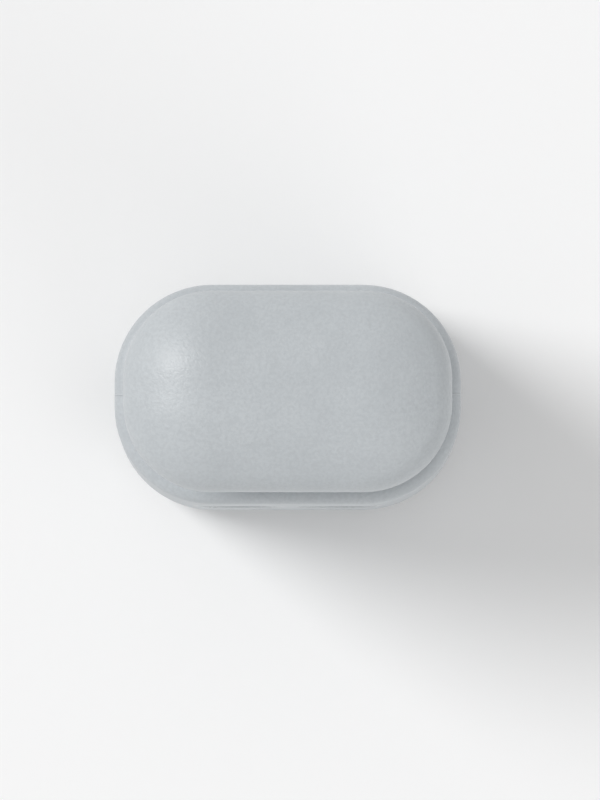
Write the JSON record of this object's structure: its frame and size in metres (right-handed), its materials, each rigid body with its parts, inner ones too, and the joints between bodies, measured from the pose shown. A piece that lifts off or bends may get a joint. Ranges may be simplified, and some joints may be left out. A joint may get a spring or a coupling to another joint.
{
  "type": "cord lock",
  "caption": "Soft-cornered spring-loaded cord lock: a domed push-button plunger slides in a moulded barrel and grips cords passed through side-by-side holes.",
  "frame": {"origin": "centre of the barrel's flat closed end", "axes": "+Z is the push axis, from the barrel's closed end to the button; +X runs across the cord holes; +Y runs along the cords, out of the back wall"},
  "size_m": [0.0142, 0.009, 0.0204],
  "materials": {
    "barrel_plastic": "satin moulded",
    "plunger_plastic": "satin moulded",
    "spring_steel": "drawn wire"
  },
  "bodies": {
    "barrel": {"barrel": "barrel_plastic", "spring": "spring_steel"},
    "plunger": {"plunger": "plunger_plastic"}
  },
  "joints": [
    {"name": "plunger_press", "type": "slide", "parent": "barrel", "child": "plunger", "axis": [0, 0, -1], "range_m": [0, 0.0036], "stiffness_N_per_m": 1640, "deforming": ["spring"]}
  ]
}
